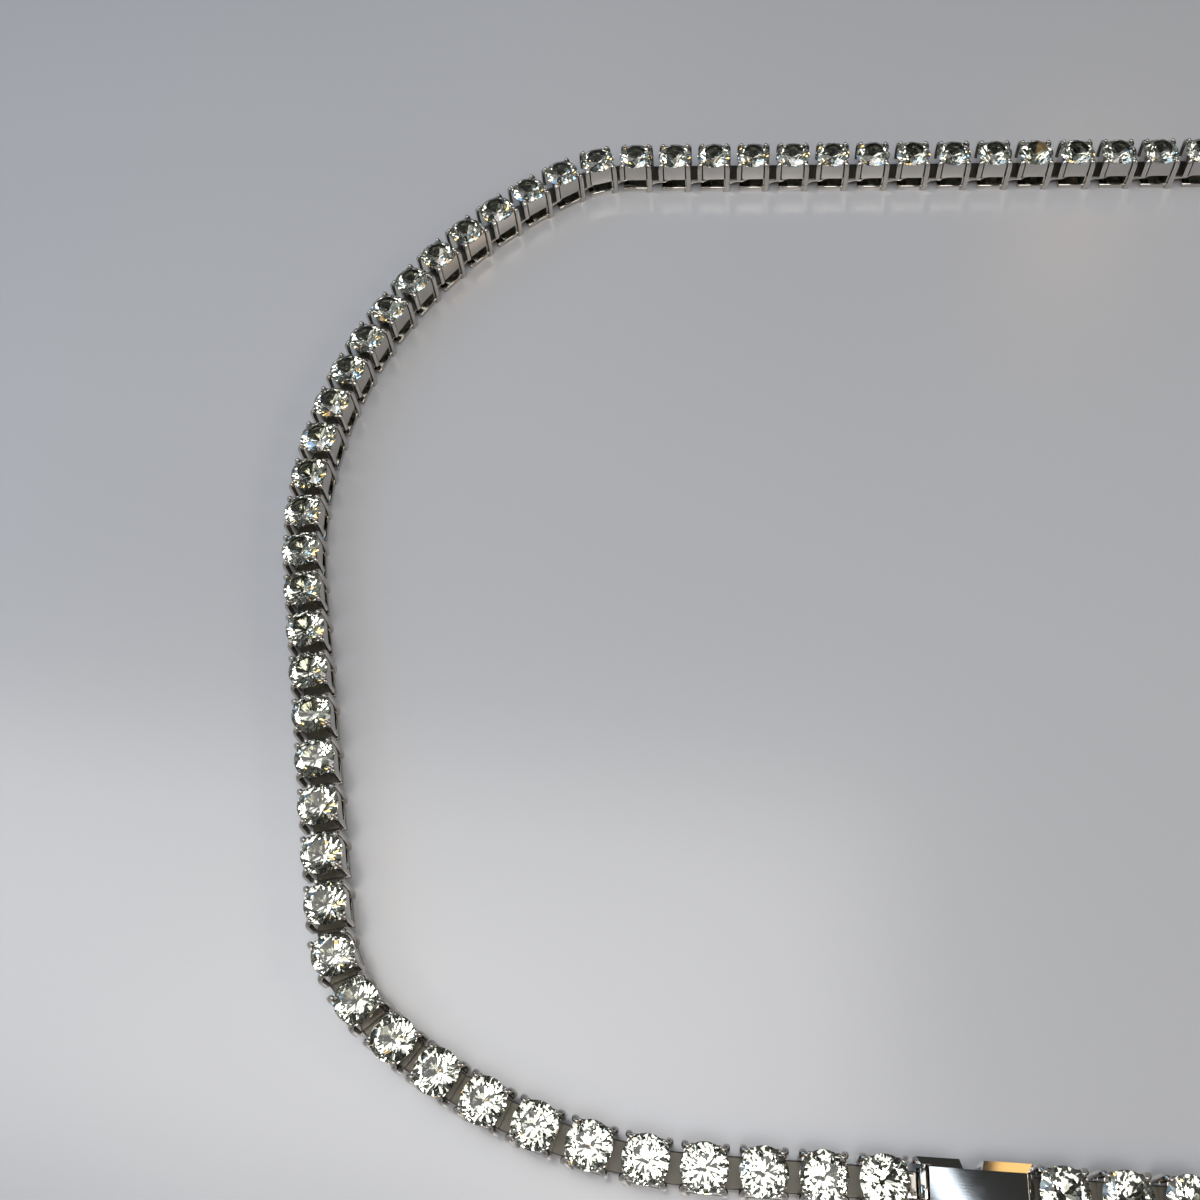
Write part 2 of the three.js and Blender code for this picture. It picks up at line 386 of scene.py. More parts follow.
class Nodes:
    """A node tree as it is put together."""

    def __init__(self, owner):
        owner.use_nodes = True
        self.tree = owner.node_tree
        self.tree.nodes.clear()

    def node(self, kind, settings=None, inputs=None, output=0, stops=None):
        """Adds a node: its settings, its ramp's stops if it has one, and its sockets' values or links."""
        made = self.tree.nodes.new(kind)
        for setting, value in (settings or {}).items():
            setattr(made, setting, value)
        if stops:
            ramp = made.color_ramp.elements
            for position, _ in stops[1:-1]:  # a new ramp has its two ends already
                ramp.new(position)
            for stop, (position, colour) in zip(ramp, stops):
                stop.position = position
                stop.color = (*colour, 1)
        for name, value in (inputs or {}).items():
            if isinstance(value, Reading):
                self.tree.links.new(value.socket, made.inputs[name])
            else:
                made.inputs[name].default_value = value
        return Reading(self, made.outputs[output]) if made.outputs else None

    def blend(self, share, first, second):
        """A mix of two colours."""
        first, second = (
            colour if isinstance(colour, Reading) else (*colour, 1) for colour in (first, second)
        )
        inputs = {"Factor": share, MIX_FIRST: first, MIX_SECOND: second}
        return self.node("ShaderNodeMix", {"data_type": "RGBA"}, inputs, output=MIX_RESULT)


class Finish(Nodes):
    """A material as it is put together."""

    def __init__(self, name):
        self.material = bpy.data.materials.new(name)
        super().__init__(self.material)

    def place(self, stretch=(1, 1, 1)):
        """Object coordinates in millimetres, or stretched along an axis by more."""
        where = self.node("ShaderNodeTexCoord", output="Object")
        scale = [1 / (MM * factor) for factor in stretch]
        return self.node("ShaderNodeMapping", None, {"Vector": where, "Scale": scale})

    def cloud(self, size, detail=2.0, stretch=(1, 1, 1)):
        """Soft noise from 0 to 1 with patches of a size in millimetres."""
        inputs = {"Vector": self.place(stretch), "Scale": 1 / size, "Detail": detail}
        return self.node("ShaderNodeTexNoise", None, inputs)

    def dents(self, height, depth):
        """A normal for a height pattern from 0 to 1, with a depth in millimetres."""
        return self.node("ShaderNodeBump", None, {"Height": height, "Distance": depth * MM, "Strength": 1.0})

    def surface(self, **sockets):
        """Ends the finish in a Principled shader. Its sockets are named with _ for a space."""
        inputs = {name.replace("_", " "): value for name, value in sockets.items()}
        shader = self.node("ShaderNodeBsdfPrincipled", None, inputs)
        self.node("ShaderNodeOutputMaterial", None, {"Surface": shader})
        return self.material


# %% [markdown]
# **Rhodium over cast brass.** The settings are cast, tumbled and plated. Tumbling leaves a bright
# metal with a faint orange peel, and the plating is a little paler and duller where it is thin.
# So one soft cloud sets both the colour and the gloss, and a finer one dents the surface by a few
# microns.
#
# No polish reaches the inside of a cup, the corner beside a claw or the space between two cups.
# They stay matt. They are also painted near black as painted shade, which draws the dark lines
# that make the small parts readable. A face attribute marks them, and the finish reads it.

# %% The cast metal
DARK_PLATE, LIGHT_PLATE = (0.45, 0.43, 0.40), (0.63, 0.60, 0.56)
# The colour of the marked faces is painted shade: near black, where shade falls in the recesses.
PAINTED_RECESS_SHADE = (0.13, 0.125, 0.11)
PLATE_SHEEN, THIN_DULL, UNBUFFED_DULL = 0.05, 0.12, 0.30  # roughness, and what is added to it


def rhodium_plate():
    finish = Finish("rhodium_plate")
    thin = finish.cloud(size=2.6, detail=3.0)
    peel = finish.cloud(size=0.35, detail=2.0)
    # Where the attribute marks a face, the metal is matt and takes the painted shade colour in place of its
    # own.
    unbuffed_and_shaded = finish.node("ShaderNodeAttribute", {"attribute_name": "unbuffed_and_shaded"}, output="Fac")
    buffed_colour = finish.blend(thin, DARK_PLATE, LIGHT_PLATE)
    return finish.surface(
        Base_Color=finish.blend(unbuffed_and_shaded, buffed_colour, PAINTED_RECESS_SHADE),
        Metallic=1.0,
        Roughness=PLATE_SHEEN + thin * THIN_DULL + unbuffed_and_shaded * UNBUFFED_DULL,
        Normal=finish.dents(peel, depth=0.004),
    )


# %% [markdown]
# **The lever's polish.** The lever is a flat mirror, buffed in one direction. Buffing leaves long
# hairlines, so its noise is stretched along the lever's length, and it is far finer than the
# peel of the castings.

# %% The buffed metal
BUFFED_DARK, BUFFED_LIGHT = (0.70, 0.69, 0.69), (0.80, 0.79, 0.78)
MIRROR_SHEEN, HAZE_DULL, HAIRLINE_DULL = 0.03, 0.02, 0.03  # roughness, and what is added to it


def buffed_plate():
    finish = Finish("buffed_plate")
    haze = finish.cloud(size=3.0, detail=2.0)
    hairlines = finish.cloud(size=0.09, detail=3.0, stretch=(14, 1, 1))
    colour = finish.blend(haze, BUFFED_DARK, BUFFED_LIGHT)
    return finish.surface(
        Base_Color=colour,
        Metallic=1.0,
        Roughness=MIRROR_SHEEN + haze * HAZE_DULL + hairlines * HAIRLINE_DULL,
        Normal=finish.dents(hairlines, depth=0.0003),
    )


# %% [markdown]
# **Crystal.** A cut stone has no colour of its own to speak of: it shows the room, turned over and
# split by its facets. Clear glass with a high refractive index does that, with no roughness at
# all. Stones from one batch still differ by a trace of grey or green, so a cloud wider than a
# stone tints them one from another.

# %% The crystal
SMOKY, CLEAR = (0.54, 0.575, 0.49), (0.77, 0.79, 0.735)


def crystal():
    finish = Finish("cut_crystal")
    batch = finish.cloud(size=7.0, detail=1.0)
    colour = finish.blend(batch, SMOKY, CLEAR)
    return finish.surface(Base_Color=colour, Transmission_Weight=1.0, Roughness=0.0, IOR=1.7)


cast_metal, buffed_metal, stone_glass = rhodium_plate(), buffed_plate(), crystal()
print("finishes:", [material.name for material in (cast_metal, buffed_metal, stone_glass)])

# %% [markdown]
# ## The stone
#
# A round brilliant has 57 facets. They could be joined up from a list of corners, but a cutter
# grinds them one at a time on a flat wheel, and here `bisect_plane` is the wheel. A facet is then
# just an angle and one point that it passes through, and the corners come out by themselves.
#
# Two points settle the small facets. The star tip is where two star facets meet the ridge between
# two bezels, and the ridge end is how far down the lower facets reach on the pavilion.

# %% The stone's measures
STONE_RADIUS = 2.0
GIRDLE_HEIGHT = 4.05
GIRDLE_HALF = 0.05
TABLE_HEIGHT = GIRDLE_HEIGHT + 0.65
CULET_HEIGHT = GIRDLE_HEIGHT - 1.7
TABLE_RADIUS = 1.15
STAR_REACH = 0.5
LOWER_REACH = 0.77
STAR_SLOPE = math.radians(22)
EIGHTH = math.tau / 8
SIXTEENTH = EIGHTH / 2
UPPER, LOWER = 1, -1
BLANK_SIDES = 32


def grind(stone, azimuth, slope, side, point):
    """One facet: its heading, its slope from the girdle's plane, its side, and a point on it."""
    out = Vector((math.cos(azimuth), math.sin(azimuth), 0))
    cut(stone, point, out * math.sin(slope) + Vector((0, 0, side * math.cos(slope))))


def at(radius, azimuth, height):
    return Vector((radius * math.cos(azimuth), radius * math.sin(azimuth), height))


# %% Cut one stone
def brilliant():
    middle = Matrix.Translation((0, 0, (TABLE_HEIGHT + CULET_HEIGHT) / 2))
    stone = rod(STONE_RADIUS, TABLE_HEIGHT - CULET_HEIGHT, middle, BLANK_SIDES)
    crown_foot = GIRDLE_HEIGHT + GIRDLE_HALF
    pavilion_foot = GIRDLE_HEIGHT - GIRDLE_HALF
    bezel = math.atan2(TABLE_HEIGHT - crown_foot, STONE_RADIUS - TABLE_RADIUS)
    main = math.atan2(pavilion_foot - CULET_HEIGHT, STONE_RADIUS)

    edge = TABLE_RADIUS * math.cos(SIXTEENTH)
    star_radius = edge + STAR_REACH * (STONE_RADIUS - edge)
    star_height = TABLE_HEIGHT - (star_radius - edge) * math.tan(STAR_SLOPE)
    half_chord = math.cos(SIXTEENTH / 2)
    upper = math.atan2(star_height - crown_foot, (STONE_RADIUS - star_radius) * half_chord)

    ridge_radius = (1 - LOWER_REACH) * STONE_RADIUS
    ridge_height = CULET_HEIGHT + ridge_radius * math.cos(SIXTEENTH) * math.tan(main)
    lower = math.atan2(pavilion_foot - ridge_height, (STONE_RADIUS - ridge_radius) * half_chord)

    for turn in range(8):
        heading = turn * EIGHTH
        between = heading + SIXTEENTH
        grind(stone, heading, main, LOWER, at(STONE_RADIUS, heading, pavilion_foot))
        grind(stone, heading, bezel, UPPER, at(STONE_RADIUS, heading, crown_foot))
        grind(stone, between, STAR_SLOPE, UPPER, at(star_radius, between, star_height))
        for half in (-1, 1):
            small = heading + half * SIXTEENTH / 2
            grind(stone, small, upper, UPPER, at(STONE_RADIUS, heading, crown_foot))
            grind(stone, small, lower, LOWER, at(STONE_RADIUS, heading, pavilion_foot))
    mesh = bpy.data.meshes.new("brilliant")
    stone.to_mesh(mesh)
    stone.free()
    angles = [round(math.degrees(angle), 1) for angle in (bezel, upper, main, lower)]
    print("brilliant:", len(mesh.polygons), "faces,", loose_edges(mesh), "open edges, slopes", angles)
    return mesh


BRILLIANT = brilliant()

# %% [markdown]
# ## The setting
#
# A setting is one casting: a square cup with a seat bored in it, a post with a claw at each
# corner, a web between the two posts at its end that go down to the table, a rail under an open
# window, and a tongue that hooks into the next setting's window. Each part is rounded over by
# itself first, because a bevel across soldered seams would catch on their short edges.

# %% The setting's measures
POST_EDGE = 2.0
POST_WIDTH = 0.58
POST_ROUND = 0.19
WALL_FACE = 1.78
WALL_HALF = 1.26
CUP_BOTTOM = 1.85
CUP_TOP = 4.02
WALL_BULGE = 1.02
BORE_RADIUS = 1.3
SEAT_GAP = 0.03
CLAW_START = 3.55
BEAD_RADIUS = 0.24
BEAD_OUT = 2.08
BEAD_HEIGHT = 4.3
WEB_FACE = 1.76
RAIL_START = -1.6
RAIL_TOP = 0.55
RAIL_RIM = 0.45
RAIL_HOLLOW = 0.25
RAIL_ROUND = 0.16
FOOT_SPREAD = 1.5
FOOT_TOP = 0.75
APRON = (1.45, 0.35)
TONGUE_HALF = 1.3
TONGUE_ROOT = (0.45, 1.3)
TONGUE_FLAT = (0.86, 1.31)
TONGUE_LIP = (1.24, 1.72)
TONGUE_RISE = 2.8
LIP_START = 3.5
LIP_RISE = 4.15
TONGUE_END = 4.4
TONGUE_ROUND = 0.15
EDGE_ROUND = 0.06
SOLDER = 0.1  # how far a soldered part reaches into the next one
PAST = 1.0  # how far a filed space reaches past the metal

# %% [markdown]
# The cup starts as a box. Its corners are bevelled away, because the posts stand there, and a loop
# round the middle of its walls is pushed out by a few hundredths: a wall that bulges a little
# shows a gradient where a dead flat one would show a single grey. The burr that bores the seat is
# a profile spun round the stone's axis.

# %% The cup and the burr
BURR_STEPS = 40


def cup():
    shape = box((-WALL_FACE, -WALL_FACE, CUP_BOTTOM), (WALL_FACE, WALL_FACE, CUP_TOP))
    corners = [edge for edge in shape.edges if span(edge, Z) > LONG]
    soften(shape, corners, WALL_FACE - WALL_HALF, segments=1)
    rims = [edge for edge in shape.edges if span(edge, Z) < LEVEL]
    soften(shape, rims, EDGE_ROUND)
    waist = ring_at(shape, (CUP_BOTTOM + CUP_TOP) / 2)
    bmesh.ops.scale(shape, verts=waist, vec=(WALL_BULGE, WALL_BULGE, 1))
    return shape


def turned_shape(profile, steps):
    """A closed solid turned about Z, from a profile of (radius, height) that starts and ends on it."""
    shape = bmesh.new()
    points = [shape.verts.new((radius, 0, height)) for radius, height in profile]
    edges = [shape.edges.new(pair) for pair in zip(points, points[1:])]
    bmesh.ops.spin(
        shape,
        geom=points + edges,
        cent=(0, 0, 0),
        axis=(0, 0, 1),
        angle=math.tau,
        steps=steps,
        use_merge=True,
    )
    bmesh.ops.remove_doubles(shape, verts=shape.verts[:], dist=TOUCHING)
    bmesh.ops.recalc_face_normals(shape, faces=shape.faces[:])
    return shape


def burr():
    """What is bored out: the stone's lower half and girdle with a hair's gap, and a hole under them."""
    slope = (GIRDLE_HEIGHT - GIRDLE_HALF - CULET_HEIGHT) / STONE_RADIUS
    wide = STONE_RADIUS + SEAT_GAP
    culet = CULET_HEIGHT - SEAT_GAP
    profile = [
        (0, CUP_BOTTOM - PAST),
        (BORE_RADIUS, CUP_BOTTOM - PAST),
        (BORE_RADIUS, culet + BORE_RADIUS * slope),
        (wide, culet + wide * slope),
        (wide, GIRDLE_HEIGHT + PAST),
        (0, GIRDLE_HEIGHT + PAST),
    ]
    return turned_shape(profile, BURR_STEPS)


# %% [markdown]
# A post is a square bar with its corners taken off. It stays flat-sided, because the flats are what
# flash, and it is drawn out at the top so that it leans in over the stone. The two long posts
# spread at the foot. A claw ends in a bead, pushed down on the stone's edge: a small icosphere,
# since there are four of them on every link.

# %% A post and its bead
# For each step up a claw: its share of the way in, its share of the rise, and how much it narrows.
CLAW_STEPS = ((0.1, 0.5, 0.94), (0.35, 0.3, 0.84), (0.55, 0.2, 0.6))


def post(sign_x, sign_y, bottom):
    middle = POST_EDGE - POST_WIDTH / 2
    half = POST_WIDTH / 2
    x, y = sign_x * middle, sign_y * middle
    shape = box((x - half, y - half, bottom), (x + half, y + half, CLAW_START))
    corners = [edge for edge in shape.edges if span(edge, Z) > LONG]
    soften(shape, corners, POST_ROUND, segments=3)
    if bottom == 0:
        ring_at(shape, FOOT_TOP)
        foot = [corner for corner in shape.verts if corner.co.z < EDGE_ROUND]
        about = Matrix.Translation((-x - sign_x * half, 0, 0))
        bmesh.ops.scale(shape, verts=foot, vec=(FOOT_SPREAD, 1, 1), space=about)
    inward = Vector((-sign_x, -sign_y, 0)) * math.sqrt(0.5)
    reach = math.sqrt(2) * middle - BEAD_OUT
    rise = BEAD_HEIGHT - CLAW_START
    steps = [
        (inward * reach * way_in + Vector((0, 0, rise * climb)), (narrowed, narrowed, 1))
        for way_in, climb, narrowed in CLAW_STEPS
    ]
    draw_out(shape, face_towards(shape, (0, 0, 1)), steps)
    return shape


def bead(sign_x, sign_y):
    shape = bmesh.new()
    across = BEAD_OUT * math.sqrt(0.5)
    middle = Matrix.Translation((sign_x * across, sign_y * across, BEAD_HEIGHT))
    bmesh.ops.create_icosphere(shape, subdivisions=2, radius=BEAD_RADIUS, matrix=middle)
    return shape


# %% [markdown]
# The tongue is a strip, drawn out from the web. It rises in a wave, because the next link's rail
# has to pass under it, and its lip is turned up behind that link's apron so that it can't slip
# out. A smooth step between two heights gives the wave.


# %% The web, the apron, the rail and the tongue
def web():
    beside = WALL_HALF + POST_WIDTH / 2
    shape = box((WALL_HALF, -beside, 0), (WEB_FACE, beside, CUP_BOTTOM + SOLDER))
    soften(shape, sharp_edges(shape), EDGE_ROUND)
    return shape


def apron():
    bottom, thickness = APRON
    shape = box((-WEB_FACE, -WALL_HALF, bottom), (thickness - WEB_FACE, WALL_HALF, CUP_BOTTOM + SOLDER))
    soften(shape, sharp_edges(shape), EDGE_ROUND)
    return shape


def rail():
    shape = box((RAIL_START, -WALL_FACE, 0), (WALL_HALF + SOLDER, WALL_FACE, RAIL_TOP))
    top = face_towards(shape, (0, 0, 1))
    long_edges = [edge for edge in top.edges if span(edge, X) > LONG]
    soften(shape, long_edges, RAIL_ROUND, segments=3)
    under = face_towards(shape, (0, 0, -1))
    bmesh.ops.inset_region(shape, faces=[under], thickness=RAIL_RIM, depth=-RAIL_HOLLOW)
    soften(shape, sharp_edges(shape), EDGE_ROUND)
    return shape


def smooth_step(share):
    return share * share * (3 - 2 * share)


def strip(start, half_width, sections):
    """A strip along X, through sections of (x, underside, top) that it passes in turn."""
    x0, low, high = sections[0]
    shape = box((start, -half_width, low), (x0, half_width, high))
    steps = []
    for (x1, low1, high1), (x2, low2, high2) in zip(sections, sections[1:]):
        move = (x2 - x1, 0, (low2 + high2 - low1 - high1) / 2)
        steps.append((move, (1, 1, (high2 - low2) / (high1 - low1))))
    draw_out(shape, face_towards(shape, (1, 0, 0)), steps)
    soften(shape, sharp_edges(shape), TONGUE_ROUND, segments=3)
    return shape


def wave(x1, x2, section1, section2, count=5):
    """Sections that go smoothly from one to another, the first left out."""
    made = []
    for step in range(1, count + 1):
        share = step / count
        eased = smooth_step(share)
        low, high = (a + (b - a) * eased for a, b in zip(section1, section2))
        made.append((x1 + (x2 - x1) * share, low, high))
    return made


def hook_sections(link_x):
    """From the flat of a tongue to its lip, for a link whose middle is at an X."""
    return [
        (LIP_START + link_x, *TONGUE_FLAT),
        *wave(LIP_START + link_x, LIP_RISE + link_x, TONGUE_FLAT, TONGUE_LIP),
        (TONGUE_END + link_x, *TONGUE_LIP),
    ]


def tongue(ending):
    """A tongue that ends in some sections of its own."""
    root = WEB_FACE - EDGE_ROUND
    sections = [(root, *TONGUE_ROOT), *wave(root, TONGUE_RISE, TONGUE_ROOT, TONGUE_FLAT), *ending]
    return strip(WALL_HALF + SOLDER, TONGUE_HALF, sections)


# %% [markdown]
# The faces that no buff reaches are matt, and they are also painted dark as shade. They are found by
# where they look: in towards the cup's axis from near it, or straight down from the cup, or out of the
# narrow groove between a wall and a post. The top of the tongue is one of them too, because it lies
# deep between two cups, where shade falls.

# %% Mark what stays unbuffed and gets painted shade
# How far a face's normal has to lean towards the axis, down or up, and how even or level it has to be.
INWARD, DOWNWARD, UPWARD = -0.2, -0.7, 0.3
EVENLY, LEVELLY = 0.1, 0.2


def mark_unbuffed_and_shaded(mesh):
    marks = mesh.attributes.new("unbuffed_and_shaded", "FLOAT", "FACE")
    for face in mesh.polygons:
        x, y, z = face.center
        look = face.normal
        outward = look.x * x + look.y * y
        radius = math.hypot(x, y)
        inside = radius < WALL_FACE and outward < INWARD * radius
        below = look.z < DOWNWARD and z > RAIL_TOP
        away = look.x * x > 0 and look.y * y > 0
        diagonal = away and abs(abs(look.x) - abs(look.y)) < EVENLY and abs(look.z) < LEVELLY
        groove = diagonal and radius < POST_EDGE + POST_WIDTH / 2
        between = x > WEB_FACE and abs(y) < TONGUE_HALF and z < CUP_BOTTOM and look.z > UPWARD
        # A marked face is matt and is painted near black as shade.
        marks.data[face.index].value = float(inside or below or groove or between)
    print(mesh.name, "unbuffed faces:", sum(mark.value > 0 for mark in marks.data))


# %% [markdown]
# The bore goes into the cup before anything is soldered on, so that the burr can't touch the posts.
# The two posts at the web's end go down to the table, and the other two stop at the cup's underside.


# %% Solder one setting
def setting(name, reach):
    hollow = worked(name + "_cup", cup(), filed=[burr()])
    body = bmesh.new()
    body.from_mesh(hollow)
    posts = [post(1, -1, 0), post(1, 1, 0), post(-1, -1, CUP_BOTTOM), post(-1, 1, CUP_BOTTOM)]
    beads = [bead(x, y) for x in (-1, 1) for y in (-1, 1)]
    mesh = worked(name, body, joined=[*posts, *beads, web(), apron(), rail(), reach])
    mark_unbuffed_and_shaded(mesh)
    return mesh


SETTING = setting("setting", tongue(hook_sections(0)))

# %% [markdown]
# The last link's tongue is a flat loop instead. It lies over the clasp's peg, and the folded lever
# keeps it there.

# %% The last setting
LOOP_END = 5.6
LOOP_HOLE = 0.78
PEG_X = -2.6
PEG_SIDES = 24


def peg_hole():
    """The hole in the loop, drilled from the table up through it."""
    middle = Matrix.Translation((CLASP_REACH + PEG_X, 0, PAST))
    return rod(LOOP_HOLE, 2 * PAST, middle, PEG_SIDES)


pierced = worked("loop_tongue", tongue([(LOOP_END, *TONGUE_FLAT)]), filed=[peg_hole()])
loop_shape = bmesh.new()
loop_shape.from_mesh(pierced)
LAST_SETTING = setting("last_setting", loop_shape)

# %% [markdown]
# ## The links in the row
#
# Every stone is set with its facets turned some other way, and never quite level. That is why the
# row sparkles unevenly, so each stone gets a small random turn. The seed keeps it the same each
# time. The order in which the links are laid matters for that, so the loose ones always come first.

# %% Lay the links
SEED = 85
MOST_LEAN = math.radians(1.2)
ROUND_CASTING = 35  # degrees up to which two faces of a casting look like one curve
chance = random.Random(SEED)


def stone_turn():
    """A stone's own turn about its axis and its slight lean about the middle of its girdle."""
    lean = Matrix.Rotation(chance.uniform(0, MOST_LEAN), 4, "X")
    about = Matrix.Rotation(chance.uniform(0, math.tau), 4, "Z")
    sunk = Matrix.Translation((0, 0, GIRDLE_HEIGHT - TABLE_RADIUS * math.sin(MOST_LEAN)))
    facets = Matrix.Rotation(chance.uniform(0, EIGHTH), 4, "Z")
    return sunk @ about @ lean @ facets @ Matrix.Translation((0, 0, -GIRDLE_HEIGHT))


def dress(numbers, metal_name, stone_name, nodes):
    """The metal piece and the stones' piece of some links, in place of their solids."""
    metal_laid = [(LAST_SETTING if number == LINKS else SETTING, link_place(number)) for number in numbers]
    stones_laid = [(BRILLIANT, link_place(number) @ stone_turn()) for number in numbers]
    metal = lay(metal_name, metal_laid, cast_metal, smooth_below=ROUND_CASTING)
    stones = lay(stone_name, stones_laid, stone_glass)
    for piece, slot in ((metal, "rhodium_plated_metal"), (stones, "crystal")):
        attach(piece, "row")
    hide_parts(nodes[0])
    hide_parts(nodes[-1])


for number in (*range(1, LOOSE + 1), *range(LINKS - LOOSE + 1, LINKS + 1)):
    nodes = [f"setting_{number:02d}", f"stone_{number:02d}"]
    dress([number], f"claw_{nodes[0]}", f"cut_{nodes[1]}", nodes)
for first in range(LOOSE + 1, LINKS - LOOSE + 1, STRETCH):
    last = first + STRETCH - 1
    which = f"{first}_to_{last}"
    dress(range(first, last + 1), f"settings_{which}", f"stones_{which}", [f"links_{which}"])
print("links laid:", LINKS)

# %% [markdown]
# ## The clasp
#
# The clasp is a tray with a peg, and a lever that folds down over them. The lever is a channel of
# sheet metal, so it starts as a block: flat cuts take its edges off, and the hollow, the notches
# and the space for the hinge are filed out of it. Its edges are then rounded over all together by
# a Bevel modifier, because all of them are as a polishing wheel leaves them.
#
# The clasp is made lying along X with its middle at the origin, and the hinge at its +X end.

# %% The clasp's measures
LEVER_HALF = 4.7
LEVER_TOP = 4.05
LEVER_BOTTOM = 0.5
SIDE_BEVEL = 0.75
TIP_BEVEL = 0.55
BEVEL_DROP = 0.35
TIP_CHAMFER = (0.5, 1.1)
FLANGE = 0.4
PLATE = 0.8
NECK = (-0.65, 0.82)
NECK_FLARE = 0.22
EAR_RADIUS = 0.95
PIN_RADIUS = 0.3
PIN_HALF = 1.9
PIN_SIDES = 24
PIN_HOLE = 0.34
KNUCKLE_RADIUS = 0.72
KNUCKLE_HALF = 1.15
HINGE_GAP = 0.25
HINGE_POST = (3.1, 4.4)
HINGE_SIDES = 32
ROUND_END = 60  # degrees, more than between two sides of a round bar and less than at its ends
EAR_CUTS = range(10, 90, 10)  # degrees at which the ear's corner is cut round
TRAY = (-4.2, 4.6)
TRAY_TOP = 0.6
PEG_RADIUS = 0.45
PEG_TOP = 2.9
PIN = Vector((LEVER_HALF - EAR_RADIUS, 0, LEVER_TOP - EAR_RADIUS))
BEYOND = 6.0  # further than any part of the clasp reaches


def bar_across(radius, half_length, sides=HINGE_SIDES):
    """A round bar about the hinge's axis."""
    laid = Matrix.Translation(PIN) @ Matrix.Rotation(math.pi / 2, 4, "X")
    return rod(radius, 2 * half_length, laid, sides)


# %% [markdown]
# The lever's long top edges and both edges of its free end are bevelled by one flat cut each. The
# corner over the pin is rounded by a few cuts, each of them touching the same circle.


# %% The lever
def notch(side):
    """What is filed out beside the neck, a little wider at the outside."""
    shape = box((NECK[0], POST_EDGE - SIDE_BEVEL, -PAST), (NECK[1], BEYOND, BEYOND))
    outer = [corner for corner in shape.verts if corner.co.y > POST_EDGE]
    middle = (NECK[0] + NECK[1]) / 2
    width = NECK[1] - NECK[0]
    flare = (BEYOND - POST_EDGE + SIDE_BEVEL) / SIDE_BEVEL * NECK_FLARE
    bmesh.ops.scale(
        shape, verts=outer, vec=(1 + 2 * flare / width, 1, 1), space=Matrix.Translation((-middle, 0, 0))
    )
    if side < 0:
        half_turn = Matrix.Rotation(math.pi, 3, "Z")
        bmesh.ops.rotate(shape, verts=shape.verts[:], cent=(middle, 0, 0), matrix=half_turn)
    return shape


def lever():
    block = box((-LEVER_HALF, -POST_EDGE, LEVER_BOTTOM), (LEVER_HALF, POST_EDGE, LEVER_TOP))
    for side in (-1, 1):
        cut(block, (0, side * POST_EDGE, LEVER_TOP - BEVEL_DROP), (0, side * BEVEL_DROP, SIDE_BEVEL))
    cut(block, (-LEVER_HALF, 0, LEVER_TOP - BEVEL_DROP), (-BEVEL_DROP, 0, TIP_BEVEL))
    along, up = TIP_CHAMFER
    cut(block, (-LEVER_HALF, 0, LEVER_BOTTOM + up), (-up, 0, -along))
    for angle in map(math.radians, EAR_CUTS):
        out = Vector((math.cos(angle), 0, math.sin(angle)))
        cut(block, PIN + out * EAR_RADIUS, out)
    inner = POST_EDGE - FLANGE
    ears = KNUCKLE_HALF + HINGE_GAP
    hollow = box((-BEYOND, -inner, -PAST), (BEYOND, inner, LEVER_TOP - PLATE))
    slot = box((PIN.x - HINGE_GAP, -ears, PIN.z), (BEYOND, ears, BEYOND))
    filed = [
        hollow,
        notch(1),
        notch(-1),
        bar_across(KNUCKLE_RADIUS + HINGE_GAP, ears),
        slot,
        bar_across(PIN_HOLE, BEYOND),
    ]
    return worked("lever", block, filed=filed, softened=EDGE_ROUND)


# %% [markdown]
# The tray is a plate with an upright for the hinge, a peg for the last link's loop, and a hook of
# its own for the first link. The hook is the same as a link's, as if a link's middle lay one pitch
# before the first one's. The peg's head is turned a little narrower, so that the loop finds it.

# %% The tray and the pin
# Each corner of the peg's head: its share of the peg's radius, and how far it is below the top.
PEG_HEAD = ((1, 0.2), (0.75, 0.05), (0.35, 0), (0, 0))


def tray():
    before_first = CLASP_REACH - PITCH
    rise = before_first + TONGUE_RISE + EDGE_ROUND
    bent = (TRAY[1] - EDGE_ROUND, EDGE_ROUND, TONGUE_FLAT[1])
    sections = [bent, *wave(bent[0], rise, bent[1:], TONGUE_FLAT), *hook_sections(before_first)]
    hook = strip(HINGE_POST[0] + SOLDER, KNUCKLE_HALF - EDGE_ROUND, sections)
    plate = box((TRAY[0], -KNUCKLE_HALF, 0), (TRAY[1], KNUCKLE_HALF, TRAY_TOP))
    soften(plate, sharp_edges(plate), EDGE_ROUND)
    beside = KNUCKLE_HALF - EDGE_ROUND / 2
    upright = box((HINGE_POST[0], -beside, TRAY_TOP / 2), (HINGE_POST[1], beside, PIN.z))
    soften(upright, sharp_edges(upright), EDGE_ROUND)
    peg_foot = [(0, TRAY_TOP / 2), (PEG_RADIUS, TRAY_TOP / 2)]
    peg_head = [(PEG_RADIUS * share, PEG_TOP - below) for share, below in PEG_HEAD]
    peg = turned_shape(peg_foot + peg_head, PEG_SIDES)
    bmesh.ops.translate(peg, verts=peg.verts[:], vec=(PEG_X, 0, 0))
    knuckle = bar_across(KNUCKLE_RADIUS, KNUCKLE_HALF)
    soften(knuckle, sharp_edges(knuckle, ROUND_END), EDGE_ROUND)
    return worked("tray", plate, joined=[upright, hook, peg, knuckle], filed=[bar_across(PIN_HOLE, BEYOND)])


def hinge_pin():
    wire = bar_across(PIN_RADIUS, PIN_HALF, PIN_SIDES)
    soften(wire, sharp_edges(wire, ROUND_END), PIN_RADIUS / 3, segments=3)
    return worked("hinge_pin", wire)


# %% [markdown]
# Only the lever moves against the row, so it rides the body of that name, and the tray and the pin
# ride the row. The lever's flats meet at small angles that have to stay crisp, so it is smoothed
# less than the castings.

# %% Lay the clasp
ROUND_LEVER = 15

